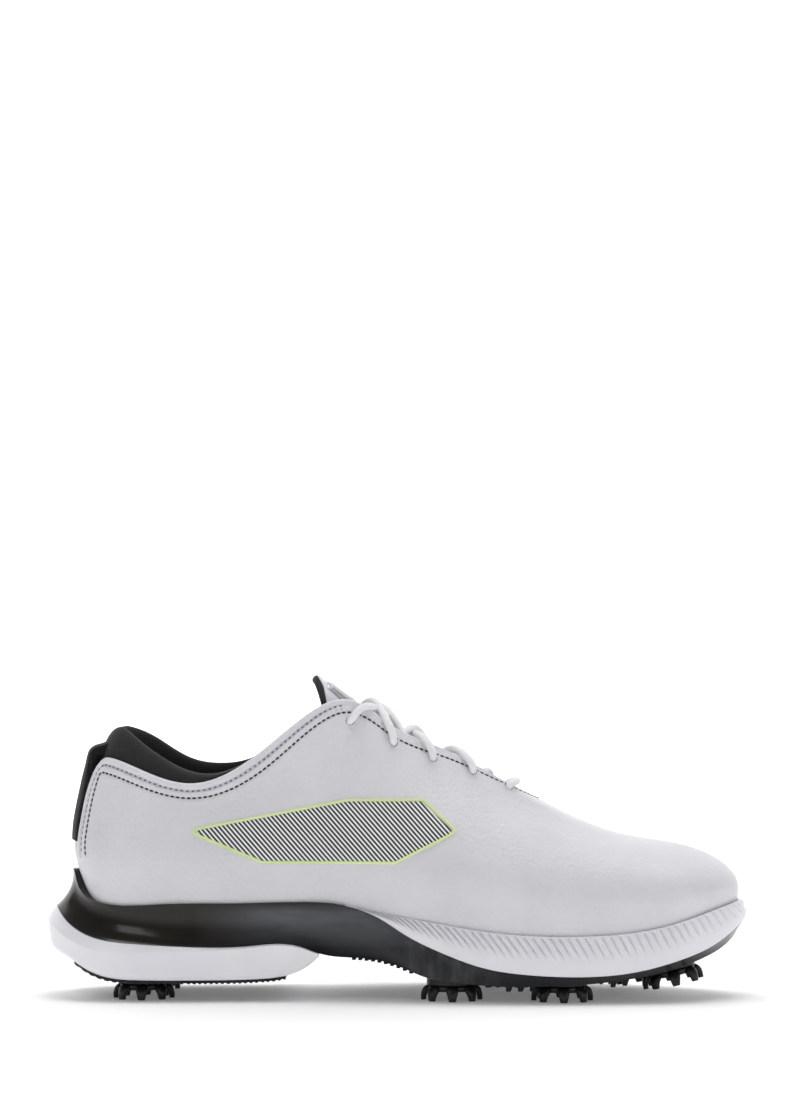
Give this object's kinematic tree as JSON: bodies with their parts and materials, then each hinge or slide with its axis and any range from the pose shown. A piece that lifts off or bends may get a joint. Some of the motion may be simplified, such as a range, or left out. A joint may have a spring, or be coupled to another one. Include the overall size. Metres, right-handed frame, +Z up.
{
  "type": "golf shoe",
  "caption": "Laced low-cut leather golf shoe for the left foot, with a cupped sole chassis, soft heel wedge, removable insole and screw-in soft spikes that grip turf.",
  "frame": {"origin": "middle of the shoe's bounding box, on the ground under the spike tips", "axes": "+X to the toe, +Y to the lateral (outer) side of the left shoe, +Z up"},
  "size_m": [0.302, 0.1038, 0.1386],
  "materials": {
    "white_leather": "fine-grained semi-matte",
    "black_knit": "matte knit",
    "black_strap": "matte woven",
    "white_lining": "matte knit",
    "foam": "open-cell foam",
    "stiffener": "moulded sheet",
    "lace_white": "round braid",
    "lace_tip": "clear moulded",
    "graphic_panel": "printed film, hatched, with a pale green edge",
    "badge": "satin metallic film",
    "midsole_white": "moulded satin",
    "smoke_plastic": "smoky translucent gloss",
    "black_rubber": "moulded",
    "air_film": "clear film",
    "shank_plate": "woven fibre sheet",
    "receptacle": "moulded",
    "spike_hub": "moulded",
    "spike_rubber": "soft moulded",
    "board": "stitched board",
    "insole_foam": "foam",
    "insole_cover": "matte cloth"
  },
  "bodies": {
    "shoe": {"upper_shell": "white_leather", "heel_counter": "stiffener", "toe_puff": "stiffener", "eyestay_stiffener_lateral": "stiffener", "eyestay_stiffener_medial": "stiffener", "vamp_lining": "white_lining", "quarter_lining": "black_knit", "topline_band": "white_leather", "collar_pad": "foam", "collar_lining": "black_knit", "heel_tab": "black_strap", "emblem_medial": "graphic_panel", "emblem_lateral": "graphic_panel", "lace": "lace_white", "lace_tips": "lace_tip", "sole_chassis": "smoke_plastic", "forefoot_midsole": "midsole_white", "heel_wedge": "midsole_white", "heel_tread": "black_rubber", "traction_lugs": "black_rubber", "shank_plate": "shank_plate", "heel_air_cushion": "air_film", "forefoot_air_cushion": "air_film", "strobel_board": "board", "spike_receptacles": "receptacle"},
    "tongue": {"tongue_face": "white_leather", "tongue_foam_pad": "foam", "tongue_lining": "black_knit", "tongue_badge": "badge"},
    "insole": {"insole_foam_bed": "insole_foam", "insole_top_cover": "insole_cover"},
    "spike_heel_medial": {"spike_core_heel_medial": "spike_hub", "spike_legs_heel_medial": "spike_rubber"},
    "spike_heel_lateral": {"spike_core_heel_lateral": "spike_hub", "spike_legs_heel_lateral": "spike_rubber"},
    "spike_arch_medial": {"spike_core_arch_medial": "spike_hub", "spike_legs_arch_medial": "spike_rubber"},
    "spike_ball_medial": {"spike_core_ball_medial": "spike_hub", "spike_legs_ball_medial": "spike_rubber"},
    "spike_toe_medial": {"spike_core_toe_medial": "spike_hub", "spike_legs_toe_medial": "spike_rubber"},
    "spike_ball_lateral": {"spike_core_ball_lateral": "spike_hub", "spike_legs_ball_lateral": "spike_rubber"},
    "spike_toe_lateral": {"spike_core_toe_lateral": "spike_hub", "spike_legs_toe_lateral": "spike_rubber"}
  },
  "joints": [
    {"name": "tongue_press", "type": "hinge", "parent": "shoe", "child": "tongue", "pos_m": [0.061, -0.002, 0.0775], "axis": [0, -1, 0], "range_deg": [0, 8]},
    {"name": "insole_lift", "type": "hinge", "parent": "shoe", "child": "insole", "pos_m": [0.1415, -0.008, 0.0324], "axis": [0, 1, 0], "range_deg": [0, 5]},
    {"name": "spike_turn_heel_medial", "type": "hinge", "parent": "shoe", "child": "spike_heel_medial", "pos_m": [-0.107, -0.021, 0.0066], "axis": [0, 0, 1], "range_deg": [0, 90]},
    {"name": "spike_turn_heel_lateral", "type": "hinge", "parent": "shoe", "child": "spike_heel_lateral", "pos_m": [-0.108, 0.019, 0.0066], "axis": [0, 0, 1], "range_deg": [0, 90]},
    {"name": "spike_turn_arch_medial", "type": "hinge", "parent": "shoe", "child": "spike_arch_medial", "pos_m": [0.024, -0.029, 0.0066], "axis": [0, 0, 1], "range_deg": [0, 90]},
    {"name": "spike_turn_ball_medial", "type": "hinge", "parent": "shoe", "child": "spike_ball_medial", "pos_m": [0.0705, -0.033, 0.0066], "axis": [0, 0, 1], "range_deg": [0, 90]},
    {"name": "spike_turn_toe_medial", "type": "hinge", "parent": "shoe", "child": "spike_toe_medial", "pos_m": [0.117, -0.026, 0.013], "axis": [-0.2079, 0, 0.9781], "range_deg": [0, 90]},
    {"name": "spike_turn_ball_lateral", "type": "hinge", "parent": "shoe", "child": "spike_ball_lateral", "pos_m": [0.033, 0.032, 0.0066], "axis": [0, 0, 1], "range_deg": [0, 90]},
    {"name": "spike_turn_toe_lateral", "type": "hinge", "parent": "shoe", "child": "spike_toe_lateral", "pos_m": [0.106, 0.019, 0.0106], "axis": [-0.1736, 0, 0.9848], "range_deg": [0, 90]}
  ]
}
